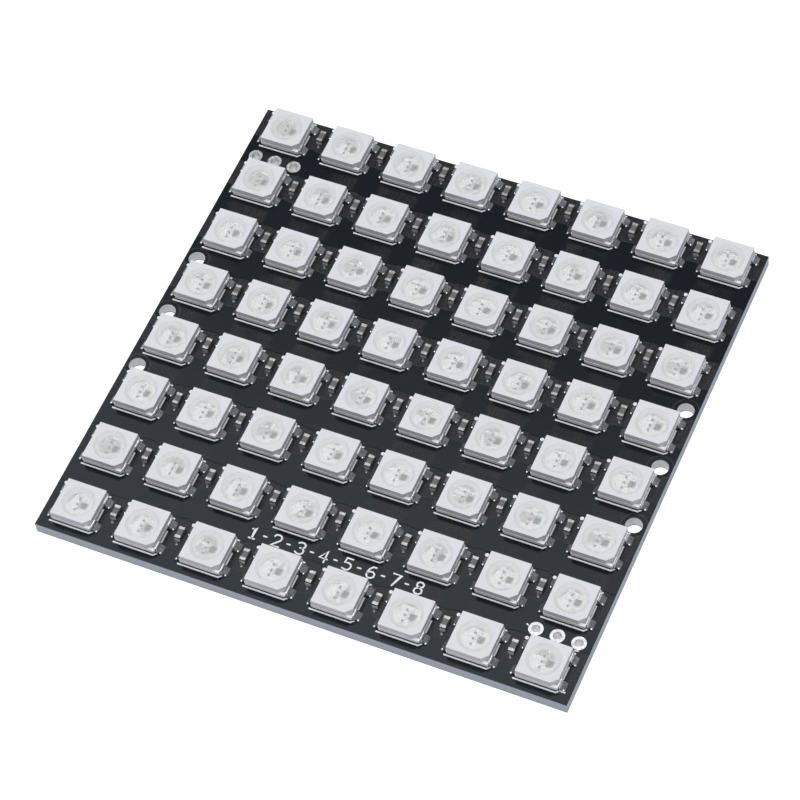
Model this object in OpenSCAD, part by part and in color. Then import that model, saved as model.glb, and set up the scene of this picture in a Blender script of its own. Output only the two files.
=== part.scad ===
// Square matrix of addressable light-emitting diodes, soldered to a printed circuit board.
//
// Frame: the origin is the centre of the board's underside. +X runs along a row of diodes,
// +Y runs from the output corner's end to the input corner's end, and +Z points out of the
// lit face. Row 1 is the row at +Y, next to the input holes. All lengths are millimetres.

/* [Grid] */
// Distance between the centres of neighbouring diodes, along a row and between rows
pitch = 8.128; // [8:0.001:12]
// Number of diodes in each row
columns = 8; // [4:1:10]

/* [Board] */
// Thickness of the board
board_t = 1.6; // [0.8:0.1:3.2]
// Board beside the centres of the first and the last column
side_margin = 4.05; // [3.9:0.05:8]
// Board in front of the centres of the last row
front_margin = 3.65; // [3.4:0.05:8]
// Board behind the centres of the first row
back_margin = 2.85; // [2.8:0.05:8]

/* [Mounting holes] */
// Diameter of the plain mounting holes
mount_hole_d = 2; // [1.6:0.1:2.1]
// Distance from a mounting hole's centre to the nearest side edge
mount_hole_inset = 1.45; // [1.3:0.05:2]
// Distance by which the mounting holes lie in front of the middle of the gap between rows
mount_hole_shift = 0.3; // [0:0.05:0.35]

/* [Wire holes] */
// Inner diameter of a plated wire hole
wire_hole_d = 1; // [0.7:0.05:1.2]
// Wall thickness of the plating inside a wire hole
wire_hole_wall = 0.05; // [0.03:0.01:0.1]
// Outer diameter of the solder ring round a wire hole
wire_ring_d = 1.7; // [1.5:0.05:2]
// Thickness of the solder ring
wire_ring_t = 0.05; // [0.03:0.01:0.1]
// Height by which the upper solder ring stands proud of the board
wire_ring_proud = 0.02; // [0:0.01:0.03]
// Distance between the centres of neighbouring wire holes
wire_spacing = 2.54; // [2.2:0.01:3]
// Distance from the outermost wire hole's centre to the nearest side edge
wire_inset = 1.6; // [1.2:0.05:3]
// Distance by which the wire holes lie in front of the middle of the gap between rows
wire_shift = 0.12; // [0:0.01:0.4]

/* [Diode housing] */
// Width and depth of the housing at its belt
housing_w = 5; // [4.8:0.05:5.2]
// Height of the housing's top face above the board
housing_top = 1.57; // [1.4:0.01:2]
// Distance by which the belt stands out from the upper half's lower edge
belt_ledge_w = 0.04; // [0.02:0.01:0.08]
// Distance by which each side of the upper half leans in on its way up
side_lean_w = 0.03; // [0.01:0.01:0.08]
// Distance by which the foot is set back under the belt
foot_recess_w = 0.15; // [0.05:0.01:0.25]
// Gap between the board and the housing's foot
foot_gap = 0.1; // [0.05:0.01:0.15]
// Height of the belt's lower edge above the board
belt_bottom = 0.36; // [0.3:0.01:0.5]
// Height of the belt's upper edge above the board, which is also the parting line
belt_top = 0.82; // [0.75:0.01:0.95]
// Radius of the housing's upright corners
housing_corner_r = 0.16; // [0.1:0.01:0.3]
// Leg length of the corner that is cut off the upper half to mark the last lead
notch_leg = 0.74; // [0.4:0.02:0.8]

/* [Reflector and lens] */
// Diameter of the reflector cup at the housing's top face
cup_mouth_d = 3.95; // [3.6:0.05:4.2]
// Diameter of the reflector cup at its floor
cup_floor_d = 3.1; // [2.6:0.05:3.3]
// Height of the cup's floor above the board
cup_floor = 0.82; // [0.6:0.01:1]
// Diameter of the flat middle of the resin
lens_flat_d = 3.25; // [2.8:0.05:3.5]
// Depth of the resin's rim below the housing's top face
lens_rim_drop = 0.01; // [0:0.01:0.05]
// Depth of the resin's flat middle below the housing's top face
lens_flat_drop = 0.06; // [0.02:0.01:0.15]

/* [Chips] */
// Width and depth of the driver chip
driver_w = 0.75; // [0.5:0.05:0.9]
// Thickness of the driver chip
driver_t = 0.2; // [0.1:0.01:0.3]
// Distance of the driver chip's centre to the right of the cup's centre
driver_x = 0.68; // [0.5:0.01:0.9]
// Width and depth of an emitter chip
emitter_w = 0.24; // [0.15:0.01:0.35]
// Thickness of an emitter chip
emitter_t = 0.1; // [0.05:0.01:0.2]
// Distance of the emitter chips' centres to the left of the cup's centre
emitter_x = 0.26; // [0.2:0.01:0.5]
// Distance between the centres of neighbouring emitter chips
emitter_spacing = 0.72; // [0.45:0.01:0.9]

/* [Leads] */
// Gap between the belt and the upright part of a lead
lead_gap = 0.02; // [0.01:0.01:0.08]
// Room round a lead's foot in its recess under the housing
lead_room = 0.1; // [0.05:0.01:0.13]
// Width of a lead
lead_w = 1; // [0.7:0.05:1.2]
// Thickness of the lead strip
lead_t = 0.18; // [0.12:0.01:0.2]
// Distance of a lead's middle from the diode's centre, along the side
lead_y = 1.65; // [1.5:0.01:1.75]
// Length of a lead's blade inside the housing's side
lead_hold = 0.7; // [0.4:0.01:0.75]
// Outer radius of a lead's bends
lead_bend_r = 0.26; // [0.22:0.01:0.3]

/* [Solder] */
// Length of the solder outside a lead
solder_run = 0.55; // [0.3:0.01:0.7]
// Width of the solder under and beside a lead
solder_w = 1.1; // [1:0.02:1.3]
// Thickness of the solder under a lead or a terminal
solder_t = 0.04; // [0.02:0.01:0.06]
// Height of the solder against a lead's outer face
solder_climb = 0.42; // [0.2:0.01:0.45]
// Thickness of the solder's outer end
solder_toe = 0.05; // [0.03:0.01:0.1]

/* [Capacitors] */
// Length of a capacitor over its terminals
capacitor_l = 1.5; // [0.9:0.05:1.7]
// Width of a capacitor's ceramic body
capacitor_w = 0.64; // [0.4:0.01:0.8]
// Thickness of a capacitor's ceramic body
capacitor_t = 0.5; // [0.3:0.01:0.8]
// Length of a capacitor's terminal
terminal_l = 0.35; // [0.15:0.01:0.4]
// Thickness of a terminal's metal
terminal_t = 0.03; // [0.02:0.01:0.05]
// Distance by which a capacitor lies to the right of the middle of the gap between columns
capacitor_shift = 0.05; // [0:0.01:0.15]
// Distance by which a capacitor lies behind its diode's centre
capacitor_back = 0.92; // [0.8:0.01:1.1]
// Length of the solder beyond a capacitor's terminal
capacitor_toe = 0.16; // [0.05:0.01:0.25]

/* [Printed marks] */
// Width of a printed line
print_w = 0.2; // [0.1:0.01:0.24]
// Thickness of the printed ink
print_t = 0.03; // [0.02:0.01:0.04]
// Distance from the belt to the middle of the printed lines at the sides with leads
print_side_gap = 0.01; // [0:0.01:0.2]
// Distance from the belt to the middle of the printed lines at the sides without leads
print_end_gap = 0.08; // [0.05:0.01:0.1]
// Distance by which the printed outline's corners lie beside the belt
print_corner_gap = 0.15; // [0.12:0.01:0.2]
// Gap between the end of the printed outline and the solder beside it
print_clearance = 0.06; // [0.03:0.01:0.12]
// Length of the short printed lines between two leads
print_gap_l = 1.7; // [1:0.05:1.8]
// Diameter of the printed dot beside the first lead
print_dot_d = 0.45; // [0.3:0.01:0.5]
// Distance of the printed dot's centre from the belt, away from the side with the first lead
print_dot_out = 0.62; // [0.55:0.01:0.75]
// Distance by which the printed dot's centre lies behind the belt
print_dot_back = 0.06; // [0:0.01:0.08]

/* [Hidden] */
// A row is a set of nodes of its own, so the number of rows is fixed by the list below.
rows = 8;
board_w = (columns - 1) * pitch + 2 * side_margin;
board_d = (rows - 1) * pitch + front_margin + back_margin;
// The mounting holes stand in the gaps in front of these rows.
mount_gap_rows = [3, 4, 5];
input_gap_row = 1;
output_gap_row = rows - 1;
wire_holes = 3;
waist_w = housing_w - 2 * belt_ledge_w;
top_face_w = waist_w - 2 * side_lean_w;
foot_w = housing_w - 2 * foot_recess_w;
print_side = housing_w / 2 + print_side_gap;
print_corner = housing_w / 2 + print_corner_gap;
print_end = housing_w / 2 + print_end_gap;
lead_outer = housing_w / 2 + lead_gap + lead_t;
lead_root = housing_w / 2 - lead_hold;
lead_blade_bottom = belt_top - lead_t;
lead_foot_top = solder_t + lead_t;
capacitor_outer_w = capacitor_w + 2 * terminal_t;
capacitor_h = solder_t + capacitor_t + 2 * terminal_t;
// Length by which a cut reaches past the face that it opens
overrun = 1;
$fn = 48;

// ---- Places ----

function column_x(column) = (column - (columns + 1) / 2) * pitch;
function row_y(row) = board_d / 2 - back_margin - (row - 1) * pitch;
// Middle of the gap in front of a row
function gap_y(row) = row_y(row) - pitch / 2;

// Puts a copy of the children at each diode's centre along a row, on the board's top face.
module at_diodes(row) {
    for (column = [1:columns])
        translate([column_x(column), row_y(row), board_t])
            children();
}

// Puts a copy of the children at each capacitor of a row. The last column has none.
module at_capacitors(row) {
    for (column = [1:columns - 1])
        translate([
            column_x(column) + pitch / 2 + capacitor_shift,
            row_y(row) + capacitor_back,
            board_t
        ])
            children();
}

// Puts a copy of the children at the four leads of a diode, each facing outwards along +X.
module at_leads() {
    for (side = [0, 1], end = [-1, 1])
        mirror([side, 0, 0])
            translate([0, end * lead_y, 0])
                children();
}

// Puts a copy of the children at each wire hole, counted inwards from the side edge.
module at_wire_holes(side, gap_row) {
    for (hole = [0:wire_holes - 1])
        translate([
            side * (board_w / 2 - wire_inset - hole * wire_spacing),
            gap_y(gap_row) - wire_shift,
            0
        ])
            children();
}

// Puts a copy of the children at each mounting hole.
module at_mounting_holes() {
    for (side = [-1, 1], row = mount_gap_rows)
        translate([side * (board_w / 2 - mount_hole_inset), gap_y(row) - mount_hole_shift, 0])
            children();
}

// ---- Board ----

module wire_hole_cut() {
    barrel_d = wire_hole_d + 2 * wire_hole_wall;
    translate([0, 0, -overrun])
        cylinder(h = board_t + 2 * overrun, d = barrel_d);
    translate([0, 0, -overrun])
        cylinder(h = wire_ring_t + overrun, d = wire_ring_d);
    translate([0, 0, board_t - wire_ring_t + wire_ring_proud])
        cylinder(h = wire_ring_t + overrun, d = wire_ring_d);
}

module board() {
    color([0.13, 0.15, 0.19])
        difference() {
            translate([-board_w / 2, -board_d / 2, 0])
                cube([board_w, board_d, board_t]);
            at_mounting_holes()
                translate([0, 0, -overrun])
                    cylinder(h = board_t + 2 * overrun, d = mount_hole_d);
            at_wire_holes(-1, input_gap_row)
                wire_hole_cut();
            at_wire_holes(1, output_gap_row)
                wire_hole_cut();
        }
}

// ---- Wire holes: a plated barrel with a solder ring on each face ----

module eyelet() {
    color([0.86, 0.87, 0.88])
        difference() {
            union() {
                cylinder(h = board_t + wire_ring_proud, d = wire_hole_d + 2 * wire_hole_wall);
                cylinder(h = wire_ring_t, d = wire_ring_d);
                translate([0, 0, board_t - wire_ring_t + wire_ring_proud])
                    cylinder(h = wire_ring_t, d = wire_ring_d);
            }
            translate([0, 0, -overrun])
                cylinder(h = board_t + 2 * overrun, d = wire_hole_d);
        }
}

module input_eyelets() {
    at_wire_holes(-1, input_gap_row)
        eyelet();
}

module output_eyelets() {
    at_wire_holes(1, output_gap_row)
        eyelet();
}

// ---- Printed marks ----

// The line in front of a diode, with the outline's cut corner at its right end.
module print_front_line() {
    half = print_w / 2;
    bevel = half * tan(22.5);
    cut_end = -(lead_y + solder_w / 2 + print_clearance);
    cut_leg = cut_end + print_end;
    linear_extrude(print_t)
        polygon([
            [-print_corner - half, -print_end - half],
            [print_corner - cut_leg + bevel, -print_end - half],
            [print_corner + half, cut_end - bevel],
            [print_corner + half, cut_end],
            [print_corner - half - bevel, cut_end],
            [print_corner - cut_leg - bevel, -print_end + half],
            [-print_corner - half, -print_end + half]
        ]);
}

module diode_print() {
    print_front_line();
    translate([-print_corner, print_end - print_w / 2, 0])
        cube([2 * print_corner, print_w, print_t]);
    for (side = [-1, 1])
        translate([side * print_side - print_w / 2, -print_gap_l / 2, 0])
            cube([print_w, print_gap_l, print_t]);
    translate([-housing_w / 2 - print_dot_out, housing_w / 2 + print_dot_back, 0])
        cylinder(h = print_t, d = print_dot_d);
}

module silkscreen() {
    color([0.95, 0.95, 0.96])
        for (row = [1:rows])
            at_diodes(row)
                diode_print();
}

// ---- Diode housing ----

// Upright block with straight sides that lean from one width at its foot to another at its top.
module leaning_block(low_w, high_w, low_z, high_z) {
    profile = [
        [-low_w / 2, low_z],
        [low_w / 2, low_z],
        [high_w / 2, high_z],
        [-high_w / 2, high_z]
    ];
    reach = max(low_w, high_w);
    intersection() {
        rotate([90, 0, 0])
            linear_extrude(reach, center = true)
                polygon(profile);
        rotate([90, 0, 90])
            linear_extrude(reach, center = true)
                polygon(profile);
    }
}

// Upright square column with round corners.
module rounded_column(width, low_z, high_z) {
    flat = width - 2 * housing_corner_r;
    translate([0, 0, low_z])
        linear_extrude(high_z - low_z)
            union() {
                square([width, flat], center = true);
                square([flat, width], center = true);
                for (x = [-1, 1], y = [-1, 1])
                    translate([x * flat / 2, y * flat / 2])
                        circle(housing_corner_r);
            }
}

module housing_upper() {
    difference() {
        intersection() {
            leaning_block(waist_w, top_face_w, belt_top, housing_top);
            rounded_column(waist_w, belt_top, housing_top);
        }
        translate([top_face_w / 2, -top_face_w / 2, belt_top])
            linear_extrude(housing_top - belt_top + overrun)
                polygon([
                    [-notch_leg - overrun, -overrun],
                    [overrun, -overrun],
                    [overrun, notch_leg + overrun]
                ]);
    }
}

module housing() {
    color([0.93, 0.93, 0.95])
        difference() {
            union() {
                housing_upper();
                rounded_column(housing_w, belt_bottom, belt_top);
                rounded_column(foot_w, foot_gap, belt_bottom);
            }
            translate([0, 0, cup_floor])
                cylinder(h = housing_top - cup_floor, d1 = cup_floor_d, d2 = cup_mouth_d);
            at_leads()
                lead_pocket();
        }
}

// ---- Leads and solder ----

// Side view of a bar whose two outer corners are round.
module round_ended(inner, outer, low_z, high_z, corner_r) {
    translate([inner, low_z])
        square([outer - corner_r - inner, high_z - low_z]);
    translate([outer - 2 * corner_r, low_z + corner_r])
        square([2 * corner_r, high_z - low_z - 2 * corner_r]);
    for (z = [low_z + corner_r, high_z - corner_r])
        translate([outer - corner_r, z])
            circle(corner_r);
}

// Draws a side view, given in x and z, as a bar along Y.
module along_side(width) {
    rotate([90, 0, 0])
        linear_extrude(width, center = true)
            children();
}

// Strip that leaves the housing under its parting line, bends down and tucks in below.
module lead_strip() {
    along_side(lead_w)
        difference() {
            round_ended(lead_root, lead_outer, solder_t, belt_top, lead_bend_r);
            translate([lead_root - overrun, lead_foot_top])
                square([lead_outer - lead_t - lead_root + overrun, lead_blade_bottom - lead_foot_top]);
        }
}

// Room in the housing for a lead: the blade is held tight, and the foot lies in an open recess.
module lead_pocket() {
    recess_w = lead_w + 2 * lead_room;
    translate([lead_root, -lead_w / 2, lead_blade_bottom])
        cube([lead_outer, lead_w, lead_t]);
    translate([lead_root - lead_room, -recess_w / 2, 0])
        cube([lead_outer, recess_w, lead_foot_top + lead_room]);
}

// Slope of solder from a wall at x = 0 out to a thin toe.
module solder_slope(run, rise, width) {
    along_side(width)
        polygon([[0, 0], [0, rise], [run, solder_toe], [run, 0]]);
}

module lead_solder() {
    translate([lead_root, -solder_w / 2, 0])
        cube([lead_outer - lead_root, solder_w, solder_t]);
    translate([lead_outer, 0, 0])
        solder_slope(solder_run, solder_climb, solder_w);
}

module lead() {
    color([0.76, 0.77, 0.79])
        union() {
            lead_strip();
            lead_solder();
        }
}

// ---- Chips and lens ----

module driver_chip() {
    color([0.2, 0.2, 0.22])
        translate([driver_x, 0, cup_floor + driver_t / 2])
            cube([driver_w, driver_w, driver_t], center = true);
}

module emitter_chips() {
    color([0.75, 0.7, 0.45])
        for (place = [-1:1])
            translate([-emitter_x, place * emitter_spacing, cup_floor + emitter_t / 2])
                cube([emitter_w, emitter_w, emitter_t], center = true);
}

// Resin that fills the cup round the chips, with a sunken middle and a raised rim.
module lens() {
    cup_slope = (cup_mouth_d - cup_floor_d) / (2 * (housing_top - cup_floor));
    rim_r = cup_mouth_d / 2 - cup_slope * lens_rim_drop;
    color([0.9, 0.9, 0.88, 0.8])
        difference() {
            rotate_extrude()
                polygon([
                    [0, cup_floor],
                    [cup_floor_d / 2, cup_floor],
                    [rim_r, housing_top - lens_rim_drop],
                    [lens_flat_d / 2, housing_top - lens_flat_drop],
                    [0, housing_top - lens_flat_drop]
                ]);
            driver_chip();
            emitter_chips();
        }
}

// ---- Capacitors ----

// Ceramic block, held by a metal cup at each end.
module capacitor() {
    color([0.42, 0.38, 0.37])
        translate([0, 0, solder_t + terminal_t + capacitor_t / 2])
            cube([capacitor_w, capacitor_l - 2 * terminal_t, capacitor_t], center = true);
}

module terminals() {
    color([0.84, 0.84, 0.85])
        for (turn = [0, 180])
            rotate([0, 0, turn])
                union() {
                    difference() {
                        translate([-capacitor_outer_w / 2, capacitor_l / 2 - terminal_l, 0])
                            cube([capacitor_outer_w, terminal_l, capacitor_h]);
                        capacitor();
                    }
                    translate([0, capacitor_l / 2, 0])
                        rotate([0, 0, 90])
                            solder_slope(capacitor_toe, capacitor_h / 2, capacitor_outer_w);
                }
}

// ---- Drawing ----

board();
silkscreen();
input_eyelets();
output_eyelets();
for (row = [1:rows]) {
    at_diodes(row) housing();
    at_diodes(row) lens();
    at_diodes(row) at_leads() lead();
    at_diodes(row) driver_chip();
    at_diodes(row) emitter_chips();
    at_capacitors(row) capacitor();
    at_capacitors(row) terminals();
}
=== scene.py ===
import bpy
import bmesh
import math
import random
from mathutils import Matrix, Quaternion, Vector


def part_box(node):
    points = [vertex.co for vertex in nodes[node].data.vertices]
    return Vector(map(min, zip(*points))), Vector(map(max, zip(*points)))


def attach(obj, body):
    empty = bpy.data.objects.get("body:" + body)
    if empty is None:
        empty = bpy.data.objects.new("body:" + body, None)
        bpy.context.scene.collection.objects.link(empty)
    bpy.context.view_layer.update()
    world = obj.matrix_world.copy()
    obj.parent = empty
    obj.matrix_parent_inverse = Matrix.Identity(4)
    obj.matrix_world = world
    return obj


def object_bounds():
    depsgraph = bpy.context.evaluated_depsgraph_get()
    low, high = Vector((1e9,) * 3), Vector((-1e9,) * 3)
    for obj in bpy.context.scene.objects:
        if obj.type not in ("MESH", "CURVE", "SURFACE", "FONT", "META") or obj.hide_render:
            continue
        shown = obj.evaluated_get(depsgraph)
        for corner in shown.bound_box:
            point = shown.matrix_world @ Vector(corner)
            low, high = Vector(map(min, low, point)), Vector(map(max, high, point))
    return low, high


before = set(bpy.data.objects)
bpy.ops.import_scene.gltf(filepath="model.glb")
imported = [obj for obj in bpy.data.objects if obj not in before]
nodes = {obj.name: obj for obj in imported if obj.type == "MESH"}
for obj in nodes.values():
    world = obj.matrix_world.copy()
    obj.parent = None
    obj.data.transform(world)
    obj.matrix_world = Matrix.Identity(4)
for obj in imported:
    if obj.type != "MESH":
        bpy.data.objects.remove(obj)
cad_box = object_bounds()
MM = 0.001

# ---------------------------------------------------------------- layout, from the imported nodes
ROWS = range(1, 9)
COLUMNS = range(1, 9)


def middle(node):
    lo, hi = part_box(node)
    return (lo + hi) / 2 / MM


board_lo, board_hi = [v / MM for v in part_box("board")]
BOARD_TOP = board_hi.z
first_row, last_row = middle("row_1_housings"), middle("row_8_housings")
PITCH = (first_row.y - last_row.y) / 7
LINE_T = 0.03       # how far print and masked tracks stand up from the board


def led(column, row):
    return Vector(((column - 4.5) * PITCH, first_row.y - (row - 1) * PITCH, BOARD_TOP))


HOLE_INSET = 1.45                           # mounting holes, from the board's side edges
HOLE_Y = first_row.y - 2.5 * PITCH - 0.3    # the rearmost mounting hole of each side
LEAD_REACH = 2.71                           # outer end of the leads, from the LED's centre

# ---------------------------------------------------------------- camera
AZIMUTH, ELEVATION, ROLL = math.radians(30.861), math.radians(56.291), math.radians(-8.783)
TARGET = Vector((-0.163, -1.813, 1.6)) * MM
DISTANCE = 370.2 * MM

back = Vector((
    math.sin(AZIMUTH) * math.cos(ELEVATION),
    -math.cos(AZIMUTH) * math.cos(ELEVATION),
    math.sin(ELEVATION),
))
camera_data = bpy.data.cameras.new("camera")
camera_data.lens = 144.89
camera_data.sensor_width = 36.0
camera_data.clip_start = 0.01
camera_data.clip_end = 50.0
camera = bpy.data.objects.new("camera", camera_data)
bpy.context.scene.collection.objects.link(camera)
camera.location = TARGET + back * DISTANCE
level = (-back).to_track_quat("-Z", "Y")
camera.rotation_mode = "QUATERNION"
camera.rotation_quaternion = level @ Quaternion((0, 0, 1), ROLL)
bpy.context.scene.camera = camera
bpy.context.scene.view_settings.view_transform = "Standard"


# ---------------------------------------------------------------- node helpers
class Shader:
    """A small wrapper, so that each material below reads as a list of steps."""

    def __init__(self, name):
        self.material = bpy.data.materials.new(name)
        self.material.use_nodes = True
        self.tree = self.material.node_tree
        self.tree.nodes.clear()
        self.out = self.tree.nodes.new("ShaderNodeOutputMaterial")
        self.bsdf = self.tree.nodes.new("ShaderNodeBsdfPrincipled")
        self.tree.links.new(self.bsdf.outputs[0], self.out.inputs[0])
        coords = self.tree.nodes.new("ShaderNodeTexCoord")
        scale = self.tree.nodes.new("ShaderNodeVectorMath")
        scale.operation = "SCALE"
        scale.inputs["Scale"].default_value = 1 / MM
        self.tree.links.new(coords.outputs["Object"], scale.inputs[0])
        self.mm = scale.outputs[0]
        split = self.tree.nodes.new("ShaderNodeSeparateXYZ")
        self.tree.links.new(self.mm, split.inputs[0])
        self.x, self.y, self.z = split.outputs
        normal = self.tree.nodes.new("ShaderNodeNewGeometry")
        parts = self.tree.nodes.new("ShaderNodeSeparateXYZ")
        self.tree.links.new(normal.outputs["True Normal"], parts.inputs[0])
        self.nx, self.ny, self.nz = parts.outputs

    def plug(self, socket, value):
        if isinstance(value, bpy.types.NodeSocket):
            self.tree.links.new(value, socket)
        elif hasattr(socket.default_value, "__len__") and not hasattr(value, "__len__"):
            socket.default_value = [value] * len(socket.default_value)
        elif hasattr(value, "__len__"):
            socket.default_value = tuple(value) + (1.0,) * (len(socket.default_value) - len(value))
        else:
            socket.default_value = value

    def do(self, operation, a, b=0.0, c=0.0, clamp=False):
        node = self.tree.nodes.new("ShaderNodeMath")
        node.operation = operation
        node.use_clamp = clamp
        for socket, value in zip(node.inputs, (a, b, c)):
            self.plug(socket, value)
        return node.outputs[0]

    def step(self, value, edge, width=0.02):
        """0 below the edge, 1 above it, with a soft change between."""
        return self.do("DIVIDE", self.do("SUBTRACT", value, edge - width / 2), width, clamp=True)

    def below(self, value, edge, width=0.02):
        """1 below the edge, 0 above it."""
        return self.do("SUBTRACT", 1.0, self.step(value, edge, width))

    def inside(self, value, low, high, width=0.02):
        """1 between the two edges, 0 outside them."""
        return self.do("MULTIPLY", self.step(value, low, width), self.below(value, high, width))

    def both(self, a, b):
        return self.do("MULTIPLY", a, b)

    def total(self, *parts):
        """The sum of some values, each times its share."""
        result = 0.0
        for value, share in parts:
            result = self.do("MULTIPLY_ADD", value, share, result)
        return result

    def length(self, a, b):
        return self.do("SQRT", self.do("ADD", self.both(a, a), self.both(b, b)))

    def from_nearest(self, value, centre):
        """Signed distance in mm from the nearest of the lines a pitch apart, of which one is at centre."""
        turns = self.do("DIVIDE", self.do("SUBTRACT", value, centre), PITCH)
        return self.both(self.do("WRAP", turns, 0.5, -0.5), PITCH)

    def cell_x(self):
        """Distance in x from the nearest LED's centre."""
        return self.from_nearest(self.x, PITCH / 2)

    def cell_y(self):
        return self.from_nearest(self.y, first_row.y)

    def mix(self, factor, a, b):
        node = self.tree.nodes.new("ShaderNodeMix")
        node.data_type = "RGBA"
        node.clamp_factor = True
        self.plug(node.inputs[0], factor)
        self.plug(node.inputs[6], a)
        self.plug(node.inputs[7], b)
        return node.outputs[2]

    def noise(self, scale, detail=3.0, roughness=0.5, stretch=(1, 1, 1), shift=(0, 0, 0)):
        """Noise of about one patch in 1/scale mm, drawn out along an axis by a small stretch value."""
        place = self.tree.nodes.new("ShaderNodeMapping")
        self.tree.links.new(self.mm, place.inputs["Vector"])
        place.inputs["Scale"].default_value = stretch
        place.inputs["Location"].default_value = shift
        node = self.tree.nodes.new("ShaderNodeTexNoise")
        node.inputs["Scale"].default_value = scale
        node.inputs["Detail"].default_value = detail
        node.inputs["Roughness"].default_value = roughness
        self.tree.links.new(place.outputs[0], node.inputs["Vector"])
        return node.outputs["Fac"]

    def spread(self, value, low, high, out_low, out_high):
        node = self.tree.nodes.new("ShaderNodeMapRange")
        self.plug(node.inputs[0], value)
        for socket, number in zip(list(node.inputs)[1:5], (low, high, out_low, out_high)):
            self.plug(socket, number)
        return node.outputs[0]

    def bump(self, height, strength, distance_mm):
        node = self.tree.nodes.new("ShaderNodeBump")
        node.inputs["Strength"].default_value = strength
        node.inputs["Distance"].default_value = distance_mm * MM
        self.plug(node.inputs["Height"], height)
        self.tree.links.new(node.outputs[0], self.bsdf.inputs["Normal"])
        return node

    def set(self, **values):
        for name, value in values.items():
            self.plug(self.bsdf.inputs[name.replace("_", " ")], value)
        return self.material


def dress(obj, material):
    if not obj.material_slots:
        obj.data.materials.append(material)
    for slot in obj.material_slots:
        slot.material = material


# ---------------------------------------------------------------- materials
def solder_mask():
    """Glossy black mask on the two faces, and bare laminate at the edges and in the holes."""
    s = Shader("black_solder_mask")
    away_x, cell_y = s.do("ABSOLUTE", s.cell_x()), s.cell_y()
    away_y = s.do("ABSOLUTE", cell_y)

    # copper pour under the mask: beside the LEDs, and in patches in front of them
    wavy_y = s.do("ADD", cell_y, s.spread(s.noise(0.5, 2), 0.3, 0.7, -0.25, 0.25))
    column_gap = s.both(s.step(away_x, 2.55, 0.1), s.inside(wavy_y, -0.95, 2.9, 0.12))
    row_gap = s.both(s.below(away_x, 2.5, 0.5), s.step(away_y, 3.2, 0.3))
    patches = s.spread(s.noise(0.16, 2), 0.42, 0.62, 0.0, 0.9)
    pour = s.do("MAXIMUM", column_gap, s.both(row_gap, patches))
    pour_edge = s.both(s.step(away_x, 2.45, 0.1), s.inside(wavy_y, 2.86, 3.06, 0.06))
    upright = s.noise(6.0, 4, 0.6, stretch=(1, 0.12, 1))
    level_streak = s.noise(6.0, 4, 0.6, stretch=(0.12, 1, 1), shift=(9, 3, 0))
    grain = s.noise(9.0, 3, 0.7)
    streak = s.total((upright, 0.45), (level_streak, 0.3), (grain, 0.25))

    plain = s.mix(s.noise(0.09, 3), (0.0040, 0.0055, 0.0085), (0.0060, 0.0080, 0.0120))
    copper = s.mix(
        s.spread(streak, 0.35, 0.65, 0.0, 1.0),
        (0.0035, 0.0035, 0.0045),
        (0.0420, 0.0370, 0.0400),
    )
    face = s.mix(pour, plain, copper)
    face = s.mix(s.both(pour_edge, 0.6), face, (0.003, 0.004, 0.006))

    # a dark ring and a paler lip round each mounting hole
    hole_x = s.do("SUBTRACT", s.do("ABSOLUTE", s.x), board_hi.x - HOLE_INSET)
    hole_y = s.from_nearest(s.y, HOLE_Y)
    far = s.length(hole_x, hole_y)
    near_holes = s.inside(s.y, first_row.y - 5 * PITCH, first_row.y - 2 * PITCH, 0.1)
    ring = s.both(near_holes, s.inside(far, 1.0, 1.42, 0.05))
    lip = s.both(near_holes, s.inside(far, 1.42, 1.62, 0.08))
    face = s.mix(s.both(ring, 0.8), face, (0.004, 0.005, 0.007))
    face = s.mix(s.both(lip, 0.5), face, (0.05, 0.05, 0.055))

    # cut edge of the laminate, and the drilled walls, which are painted near white as painted light against
    # the shade inside the holes; skin is the mask's own thickness
    on_face = s.step(s.do("ABSOLUTE", s.nz), 0.5, 0.1)
    outer = s.do(
        "MAXIMUM",
        s.step(s.do("ABSOLUTE", s.x), board_hi.x - 0.15, 0.05),
        s.step(s.do("ABSOLUTE", s.y), board_hi.y - 0.15, 0.05),
    )
    fibre = s.total((s.noise(3.0, 4, 0.7, stretch=(1, 1, 6)), 0.6), (s.noise(14.0, 3, 0.6), 0.4))
    laminate = s.mix(s.spread(fibre, 0.3, 0.7, 0.0, 1.0), (0.36, 0.40, 0.45), (0.50, 0.54, 0.60))
    skin = s.do("SUBTRACT", 1.0, s.inside(s.z, 0.10, BOARD_TOP - 0.05, 0.03))
    laminate = s.mix(s.both(skin, 0.8), laminate, (0.05, 0.06, 0.075))
    # painted light: the drilled walls are near white, far paler than the laminate, to lift the shade inside
    # the holes
    painted_light_wall = s.mix(skin, (0.88, 0.89, 0.90), (0.06, 0.065, 0.07))
    colour = s.mix(on_face, s.mix(outer, painted_light_wall, laminate), face)

    rough = s.do("ADD", s.both(on_face, -0.45), 0.62)
    rough = s.do("ADD", rough, s.both(s.both(pour, on_face), s.spread(streak, 0.40, 0.60, 0.02, 0.22)))
    s.bump(s.total((s.both(streak, pour), 1.0), (s.noise(2.2, 3), 0.25)), 0.5, 0.03)
    return s.set(
        Base_Color=colour,
        Roughness=rough,
        IOR=1.5,
        Specular_IOR_Level=0.25,
        Specular_Tint=(0.80, 0.91, 1.0),
    )


def covered_copper():
    s = Shader("masked_copper_track")
    colour = s.mix(s.noise(4.0, 3), (0.05, 0.052, 0.06), (0.10, 0.10, 0.11))
    s.bump(s.noise(8.0, 2), 0.4, 0.01)
    return s.set(Base_Color=colour, Roughness=0.3)


def ink():
    s = Shader("white_print_ink")
    patch = s.spread(s.noise(3.0, 3), 0.35, 0.7, 0, 1)
    colour = s.mix(patch, (0.95, 0.955, 0.97), (0.86, 0.87, 0.89))
    s.bump(s.noise(12.0, 2), 0.3, 0.01)
    return s.set(Base_Color=colour, Roughness=0.55)


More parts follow.
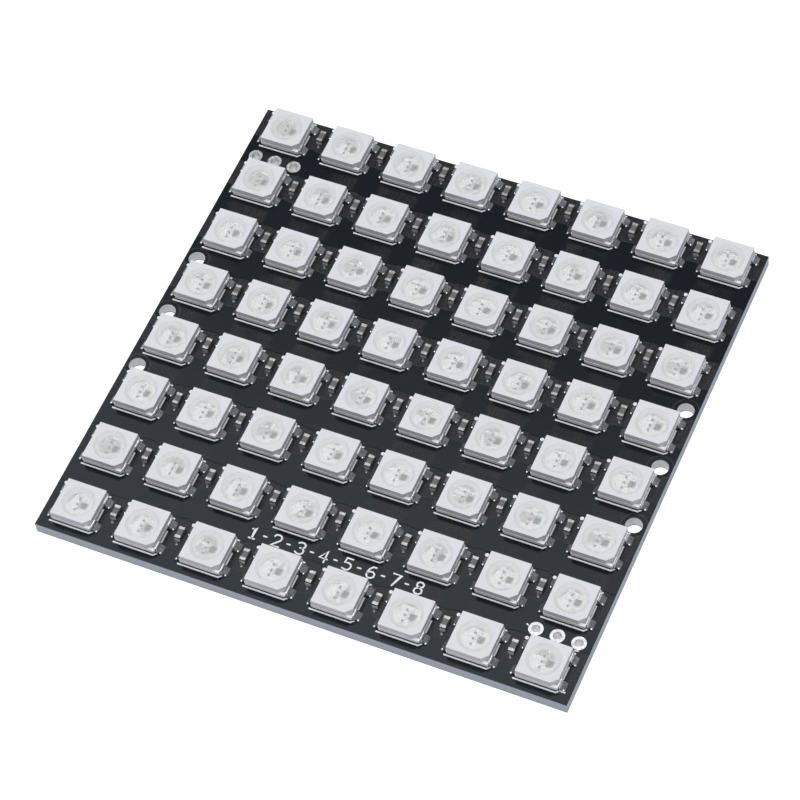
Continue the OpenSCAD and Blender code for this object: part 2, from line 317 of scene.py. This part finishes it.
def tin(name, light, dark, roughness, depth):
    """Metal in patches of two tones, with a hammered relief of the given depth in mm."""
    s = Shader(name)
    colour = s.mix(s.spread(s.noise(2.6, 4, 0.6), 0.35, 0.7, 0, 1), light, dark)
    s.bump(s.noise(3.5, 3), 0.6, depth)
    rough = s.spread(s.noise(5.0, 3), 0.3, 0.7, roughness - 0.06, roughness + 0.08)
    return s.set(Base_Color=colour, Metallic=1.0, Roughness=rough)


def lead_metal():
    """Bright plating on the lead, and darker, duller solder outside it: partly the solder's own dull finish,
    partly painted shade for the dark board it reflects.
    """
    s = Shader("plated_lead_and_solder")
    patch = s.spread(s.noise(3.2, 4, 0.6), 0.35, 0.7, 0, 1)
    outside = s.step(s.do("ABSOLUTE", s.cell_x()), LEAD_REACH, 0.02)
    plated = s.mix(patch, (0.84, 0.84, 0.85), (0.62, 0.62, 0.63))
    # partly painted shade: the metal outside the lead is darkened for the dark board it reflects, as well as
    # for the solder's dull finish
    dull_solder_and_shade = s.mix(patch, (0.48, 0.49, 0.51), (0.20, 0.21, 0.22))
    s.bump(s.noise(3.0, 3), 0.5, 0.02)
    return s.set(
        Base_Color=s.mix(outside, plated, dull_solder_and_shade),
        Metallic=1.0,
        Roughness=s.do("ADD", 0.27, s.both(outside, 0.10)),
    )


def housing_plastic():
    s = Shader("white_moulded_plastic")
    cloud = s.spread(s.noise(0.5, 3), 0.3, 0.7, 0, 1)
    colour = s.mix(cloud, (0.77, 0.775, 0.80), (0.81, 0.81, 0.83))
    # painted shade darkens the sides above the parting line, and a painted highlight makes the ledge at the
    # cut corner paler
    side = s.below(s.do("ABSOLUTE", s.nz), 0.5, 0.2)
    upper_side_shade = s.both(side, s.step(s.z, BOARD_TOP + 0.80, 0.05))
    colour = s.mix(s.both(upper_side_shade, 0.35), colour, (0.36, 0.36, 0.38))
    # painted highlight: the upward-facing ledge near mid-height is lightened
    ledge_highlight = s.both(s.step(s.nz, 0.7, 0.1), s.below(s.z, BOARD_TOP + 0.9, 0.1))
    colour = s.mix(ledge_highlight, colour, (0.93, 0.93, 0.95))
    s.bump(s.noise(16.0, 3, 0.6), 0.25, 0.012)
    return s.set(Base_Color=colour, Roughness=s.spread(s.noise(7.0, 2), 0.3, 0.7, 0.42, 0.52))


def resin():
    """Milky filling: part see-through, clearest over the chips, and open to the light."""
    s = Shader("milky_resin")
    radius = s.length(s.cell_x(), s.cell_y())
    cloud = s.spread(s.noise(0.9, 3), 0.3, 0.7, 0, 1)
    colour = s.mix(cloud, (0.79, 0.795, 0.785), (0.84, 0.84, 0.825))
    # painted shade: a faint darker ring over the cup's mouth stands in for the shaded cup wall seen through
    # the resin
    colour = s.mix(s.both(s.inside(radius, 1.60, 2.0, 0.2), 0.25), colour, (0.66, 0.665, 0.67))
    s.bump(s.noise(1.3, 3, 0.5), 0.3, 0.03)
    ray = s.tree.nodes.new("ShaderNodeLightPath")
    clear = s.tree.nodes.new("ShaderNodeBsdfTransparent")
    pick = s.tree.nodes.new("ShaderNodeMixShader")
    s.tree.links.new(ray.outputs["Is Shadow Ray"], pick.inputs[0])
    s.tree.links.new(s.bsdf.outputs[0], pick.inputs[1])
    s.tree.links.new(clear.outputs[0], pick.inputs[2])
    s.tree.links.new(pick.outputs[0], s.out.inputs[0])
    opacity = s.spread(radius, 1.05, 1.45, 0.48, 0.80)
    return s.set(Base_Color=colour, Roughness=0.3, Alpha=opacity, IOR=1.5)


def silicon():
    s = Shader("driver_silicon")
    circuit = s.step(s.noise(9.0, 1), 0.5, 0.1)
    s.bump(circuit, 0.3, 0.005)
    return s.set(Base_Color=s.mix(circuit, (0.012, 0.011, 0.012), (0.065, 0.060, 0.050)), Roughness=0.3)


def emitter():
    s = Shader("emitter_crystal")
    middle_chip = s.below(s.do("ABSOLUTE", s.cell_y()), 0.3, 0.05)
    colour = s.mix(middle_chip, (0.70, 0.70, 0.69), (0.36, 0.36, 0.34))
    colour = s.mix(s.both(s.step(s.noise(5.0, 1), 0.5, 0.1), 0.3), colour, (0.60, 0.59, 0.53))
    s.bump(s.noise(11.0, 2), 0.3, 0.005)
    return s.set(Base_Color=colour, Roughness=0.3, Metallic=0.2)


def ceramic():
    s = Shader("capacitor_ceramic")
    colour = s.mix(s.noise(6.0, 4, 0.6), (0.105, 0.098, 0.098), (0.180, 0.168, 0.165))
    s.bump(s.noise(11.0, 3), 0.3, 0.01)
    return s.set(Base_Color=colour, Roughness=0.42)


print_ink = ink()
bright_solder = tin("bright_solder", (0.88, 0.88, 0.89), (0.66, 0.67, 0.69), 0.22, 0.03)
dull_tin = tin("dull_tin", (0.50, 0.50, 0.51), (0.30, 0.30, 0.31), 0.34, 0.03)
ring_tin = tin("ring_tin", (0.66, 0.66, 0.67), (0.40, 0.40, 0.41), 0.30, 0.03)
via_tin = tin("via_tin", (0.30, 0.30, 0.31), (0.16, 0.16, 0.17), 0.36, 0.02)
gold = tin("gold_bond_wire", (0.85, 0.66, 0.32), (0.72, 0.54, 0.24), 0.3, 0.002)

ROW_FINISHES = {
    "housings": housing_plastic(),
    "lenses": resin(),
    "leads": lead_metal(),
    "driver_chips": silicon(),
    "emitter_chips": emitter(),
    "capacitors": ceramic(),
    "terminals": dull_tin,
}
dress(nodes["board"], solder_mask())
dress(nodes["silkscreen"], print_ink)
dress(nodes["input_eyelets"], ring_tin)
dress(nodes["output_eyelets"], ring_tin)
for row in ROWS:
    for kind, finish in ROW_FINISHES.items():
        dress(nodes[f"row_{row}_{kind}"], finish)


# ---------------------------------------------------------------- softened edges on the CAD nodes
def soften(obj, width_mm, segments=2, angle=40):
    weld = obj.modifiers.new("weld", "WELD")
    weld.merge_threshold = 0.002 * MM
    bevel = obj.modifiers.new("soft_edges", "BEVEL")
    bevel.width = width_mm * MM
    bevel.segments = segments
    bevel.limit_method = "ANGLE"
    bevel.angle_limit = math.radians(angle)
    bevel.harden_normals = False
    bevel.use_clamp_overlap = True


for row in ROWS:
    soften(nodes[f"row_{row}_housings"], 0.035)


# ---------------------------------------------------------------- pieces
def piece(name, shape, material, smooth=True):
    """Make an object of a shape drawn in mm, and fix it to the board."""
    mesh = bpy.data.meshes.new(name)
    shape.to_mesh(mesh)
    shape.free()
    mesh.transform(Matrix.Scale(MM, 4))
    if smooth:
        mesh.shade_smooth()
    obj = bpy.data.objects.new(name, mesh)
    bpy.context.scene.collection.objects.link(obj)
    obj.data.materials.append(material)
    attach(obj, "root")
    return obj


def add_dome(shape, centre, radius_x, radius_y, height, rings=5, around=14):
    """A low round cap that stands on its rim, like a drop of solder."""
    loops = []
    for ring in range(rings):
        lift = math.sin(math.pi / 2 * ring / rings)
        shrink = math.cos(math.pi / 2 * ring / rings)
        loops.append([
            shape.verts.new(centre + Vector((
                radius_x * shrink * math.cos(2 * math.pi * k / around),
                radius_y * shrink * math.sin(2 * math.pi * k / around),
                height * lift,
            )))
            for k in range(around)
        ])
    top = shape.verts.new(centre + Vector((0, 0, height)))
    for low, high in zip(loops, loops[1:]):
        for k in range(around):
            shape.faces.new((low[k], low[(k + 1) % around], high[(k + 1) % around], high[k]))
    for k in range(around):
        shape.faces.new((loops[-1][k], loops[-1][(k + 1) % around], top))
    shape.faces.new(list(reversed(loops[0])))


def stroke_sides(points, half):
    """The left and right edges of a line of the given half width through points in x and y."""
    left, right = [], []
    for index, point in enumerate(points):
        before = points[max(index - 1, 0)]
        after = points[min(index + 1, len(points) - 1)]
        run = (Vector(after) - Vector(before)).normalized()
        side = Vector((-run.y, run.x))
        if 0 < index < len(points) - 1:
            leg = (Vector(point) - Vector(before)).normalized()
            side = side / max(0.5, abs(side.dot(Vector((-leg.y, leg.x)))))
        left.append(Vector(point) + side * half)
        right.append(Vector(point) - side * half)
    return left, right


def half_circle(centre, start, half, ends):
    turn = math.atan2(start.y - centre.y, start.x - centre.x)
    angles = [turn - math.pi * k / ends for k in range(1, ends)]
    return [Vector((centre.x + half * math.cos(a), centre.y + half * math.sin(a))) for a in angles]


def add_stroke(shape, points, width, ends=5):
    """A thin raised line with round ends on the board, through points in x and y."""
    half = width / 2
    left, right = stroke_sides(points, half)
    outline = left + half_circle(Vector(points[-1]), left[-1], half, ends)
    outline += list(reversed(right)) + half_circle(Vector(points[0]), right[0], half, ends)
    low = [shape.verts.new((p.x, p.y, BOARD_TOP)) for p in outline]
    high = [shape.verts.new((p.x, p.y, BOARD_TOP + LINE_T)) for p in outline]
    count, stops = len(outline), len(points)
    for k in range(count):
        shape.faces.new((low[(k + 1) % count], low[k], high[k], high[(k + 1) % count]))
    # the top: one four-sided face for each stretch, and one face for each round end
    last_right = 2 * stops + ends - 2
    for k in range(stops - 1):
        shape.faces.new((high[k], high[last_right - k], high[last_right - k - 1], high[k + 1]))
    shape.faces.new(list(reversed(high[stops - 1:stops + ends])))
    shape.faces.new(list(reversed(high[last_right:] + [high[0]])))


def solder_beads():
    """The bright drop in which each lead's solder ends."""
    shape = bmesh.new()
    random.seed(4)
    for row in ROWS:
        for column in COLUMNS:
            for side in (-1, 1):
                for end in (-1, 1):
                    spot = led(column, row) + Vector((
                        side * (3.06 + random.uniform(-0.02, 0.02)),
                        end * 1.65 - 0.45 + random.uniform(-0.02, 0.02),
                        0.07,
                    ))
                    add_dome(shape, spot, 0.19, 0.18, 0.17 + random.uniform(-0.01, 0.01))
    piece("solder_beads", shape, bright_solder)


def tracks_and_vias():
    """The short track from each capacitor's front end to its via, under the mask."""
    tracks, caps = bmesh.new(), bmesh.new()
    for row in ROWS:
        for column in list(COLUMNS)[:-1]:
            c = led(column, row)
            add_stroke(tracks, [(c.x + 3.98, c.y + 0.10), (c.x + 4.22, c.y - 0.34)], 0.24, ends=6)
            via = Vector((c.x + 4.22, c.y - 0.36, BOARD_TOP + 0.02))
            add_dome(caps, via, 0.17, 0.16, 0.035, rings=3, around=12)
    piece("masked_tracks", tracks, covered_copper(), smooth=False)
    piece("via_caps", caps, via_tin)


# strokes of each plain digit, in a box 0.62 wide and 1 high
DIGITS = {
    "1": [[(0.12, 0.80), (0.34, 1.0), (0.34, 0.0)], [(0.12, 0.0), (0.56, 0.0)]],
    "2": [[(0.02, 0.80), (0.10, 0.95), (0.30, 1.0), (0.50, 0.94), (0.60, 0.76), (0.55, 0.56),
           (0.02, 0.0), (0.62, 0.0)]],
    "3": [[(0.04, 0.90), (0.20, 1.0), (0.42, 1.0), (0.58, 0.88), (0.58, 0.66), (0.42, 0.54),
           (0.26, 0.53)],
          [(0.42, 0.54), (0.60, 0.40), (0.61, 0.18), (0.46, 0.02), (0.20, 0.0), (0.02, 0.12)]],
    "4": [[(0.46, 0.0), (0.46, 1.0), (0.02, 0.32), (0.62, 0.32)]],
    "5": [[(0.56, 1.0), (0.10, 1.0), (0.07, 0.58), (0.34, 0.64), (0.56, 0.54), (0.62, 0.32),
           (0.54, 0.10), (0.32, 0.0), (0.04, 0.08)]],
    "6": [[(0.54, 0.96), (0.32, 0.96), (0.12, 0.74), (0.03, 0.44), (0.05, 0.16), (0.22, 0.0),
           (0.44, 0.01), (0.60, 0.16), (0.60, 0.40), (0.44, 0.54), (0.20, 0.52), (0.05, 0.36)]],
    "7": [[(0.02, 1.0), (0.62, 1.0), (0.24, 0.0)]],
    "8": [[(0.30, 0.55), (0.08, 0.66), (0.06, 0.86), (0.20, 1.0), (0.42, 1.0), (0.56, 0.86),
           (0.54, 0.66), (0.30, 0.55)],
          [(0.30, 0.55), (0.05, 0.40), (0.02, 0.16), (0.18, 0.0), (0.44, 0.0), (0.60, 0.16),
           (0.57, 0.40), (0.30, 0.55)]],
}


def column_numbers():
    """Plain numbers with a short dash between them, in the gap between the last two rows."""
    shape = bmesh.new()
    height, step, pen = 1.5, 2.9, 0.19
    left, base = -9.0, led(1, 7).y - PITCH / 2 - 0.72
    for place, digit in enumerate("12345678"):
        start = left + place * step
        for line in DIGITS[digit]:
            add_stroke(shape, [(start + x * height * 1.05, base + y * height) for x, y in line], pen)
        if place < 7:
            dash_x, dash_y = start + step * 0.66, base + height / 2
            add_stroke(shape, [(dash_x - 0.18, dash_y), (dash_x + 0.18, dash_y)], pen)
    piece("column_numbers", shape, print_ink, smooth=False)


def small_marks():
    """Printed ends beside the output holes and the last diode."""
    shape = bmesh.new()
    corner = led(8, 8)
    line_y = corner.y - 2.25
    add_stroke(shape, [(corner.x + 2.65, line_y), (corner.x + 3.25, line_y)], 0.2)
    lo, hi = [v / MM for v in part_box("output_eyelets")]
    add_stroke(shape, [(hi.x - 0.95, lo.y - 0.16), (hi.x - 0.55, lo.y - 0.10)], 0.16)
    add_stroke(shape, [(lo.x - 0.28, hi.y - 0.62), (lo.x - 0.12, hi.y - 0.70)], 0.16)
    piece("small_printed_marks", shape, print_ink, smooth=False)


# where the bond wires end, from the LED's centre, and how high above the cup's floor
WIRE_ENDS = ((-0.26, 0.72, 0.1), (-0.26, 0.0, 0.1), (-0.26, -0.72, 0.1), (0.55, 1.05, 0.0), (0.6, -1.1, 0.0))


def add_wire(shape, start, end, stops=6, arch=0.22, half=0.018):
    """A fine arched wire with three sides."""
    run = end - start
    across = Vector((-run.y, run.x, 0)).normalized() * half
    last = None
    for k in range(stops):
        t = k / (stops - 1)
        spot = start.lerp(end, t) + Vector((0, 0, arch * math.sin(math.pi * t)))
        corners = (spot + across, spot + Vector((0, 0, 0.02)), spot - across)
        ring = [shape.verts.new(corner) for corner in corners]
        if last:
            for j in range(3):
                shape.faces.new((last[j], last[(j + 1) % 3], ring[(j + 1) % 3], ring[j]))
        last = ring


def bond_wires():
    """Wires from the driver chip to the emitters and leads, inside the resin."""
    shape = bmesh.new()
    floor_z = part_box("row_1_driver_chips")[0].z / MM
    for row in ROWS:
        for column in COLUMNS:
            c = led(column, row)
            for number, (x, y, lift) in enumerate(WIRE_ENDS):
                start = Vector((c.x + 0.50, c.y - 0.2 + 0.1 * number, floor_z + 0.2))
                add_wire(shape, start, Vector((c.x + x, c.y + y, floor_z + lift)))
    piece("bond_wires", shape, gold)


solder_beads()
tracks_and_vias()
column_numbers()
small_marks()
bond_wires()


# ---------------------------------------------------------------- lights and surroundings
def softbox(name, centre, width, depth, radiance, aim=(0, 0, 0)):
    """A panel that shows the given radiance, where 1 is white, whatever its size."""
    light = bpy.data.lights.new(name, "AREA")
    light.shape = "RECTANGLE"
    light.size, light.size_y = width, depth
    light.energy = radiance * math.pi * width * depth
    obj = bpy.data.objects.new(name, light)
    bpy.context.scene.collection.objects.link(obj)
    obj.location = centre
    away = (Vector(centre) - Vector(aim)).normalized()
    obj.rotation_mode = "QUATERNION"
    obj.rotation_quaternion = away.to_track_quat("Z", "Y")
    return obj


softbox("overhead_softbox", (-0.1, 0.0, 1.0), 1.1, 1.136, 2.0, aim=(-0.1, 0.0, 0.0))

world = bpy.data.worlds.new("studio")
bpy.context.scene.world = world
world.use_nodes = True
tree = world.node_tree
tree.nodes.clear()
out = tree.nodes.new("ShaderNodeOutputWorld")
seen = tree.nodes.new("ShaderNodeBackground")
seen.inputs["Color"].default_value = (1, 1, 1, 1)
seen.inputs["Strength"].default_value = 1.0
lit = tree.nodes.new("ShaderNodeBackground")
lit.inputs["Strength"].default_value = 1.0
place = tree.nodes.new("ShaderNodeTexCoord")
split = tree.nodes.new("ShaderNodeSeparateXYZ")
fade = tree.nodes.new("ShaderNodeValToRGB")
fade.color_ramp.elements[0].position = 0.0
fade.color_ramp.elements[0].color = (0.75, 0.75, 0.77, 1)
fade.color_ramp.elements[1].position = 0.45
fade.color_ramp.elements[1].color = (0.30, 0.31, 0.34, 1)
ray = tree.nodes.new("ShaderNodeLightPath")
blend = tree.nodes.new("ShaderNodeMixShader")
tree.links.new(place.outputs["Generated"], split.inputs[0])
tree.links.new(split.outputs[2], fade.inputs[0])
tree.links.new(fade.outputs[0], lit.inputs["Color"])
tree.links.new(ray.outputs["Is Camera Ray"], blend.inputs[0])
tree.links.new(lit.outputs[0], blend.inputs[1])
tree.links.new(seen.outputs[0], blend.inputs[2])
tree.links.new(blend.outputs[0], out.inputs[0])


def make_floor():
    material = bpy.data.materials.new("white_sweep")
    material.use_nodes = True
    tree = material.node_tree
    tree.nodes.clear()
    out = tree.nodes.new("ShaderNodeOutputMaterial")
    paint = tree.nodes.new("ShaderNodeBsdfDiffuse")
    paint.inputs["Color"].default_value = (0.85, 0.85, 0.86, 1)
    glow = tree.nodes.new("ShaderNodeEmission")
    glow.inputs["Color"].default_value = (1, 1, 1, 1)
    glow.inputs["Strength"].default_value = 0.86
    both = tree.nodes.new("ShaderNodeAddShader")
    ray = tree.nodes.new("ShaderNodeLightPath")
    either = tree.nodes.new("ShaderNodeMath")
    either.operation = "MAXIMUM"
    again = tree.nodes.new("ShaderNodeMath")
    again.operation = "MAXIMUM"
    pick = tree.nodes.new("ShaderNodeMixShader")
    thin = tree.nodes.new("ShaderNodeBsdfDiffuse")
    thin.inputs["Color"].default_value = (0.35, 0.35, 0.35, 1)
    tree.links.new(ray.outputs["Is Camera Ray"], either.inputs[0])
    tree.links.new(ray.outputs["Is Glossy Ray"], either.inputs[1])
    tree.links.new(either.outputs[0], again.inputs[0])
    tree.links.new(ray.outputs["Is Transmission Ray"], again.inputs[1])
    tree.links.new(thin.outputs[0], both.inputs[0])
    tree.links.new(glow.outputs[0], both.inputs[1])
    tree.links.new(again.outputs[0], pick.inputs[0])
    tree.links.new(paint.outputs[0], pick.inputs[1])
    tree.links.new(both.outputs[0], pick.inputs[2])
    tree.links.new(pick.outputs[0], out.inputs[0])
    mesh = bpy.data.meshes.new("floor")
    shape = bmesh.new()
    bmesh.ops.create_grid(shape, x_segments=4, y_segments=4, size=6.0)
    shape.to_mesh(mesh)
    shape.free()
    obj = bpy.data.objects.new("floor", mesh)
    bpy.context.scene.collection.objects.link(obj)
    obj.location.z = cad_box[0].z - 0.00002
    dress(obj, material)


make_floor()
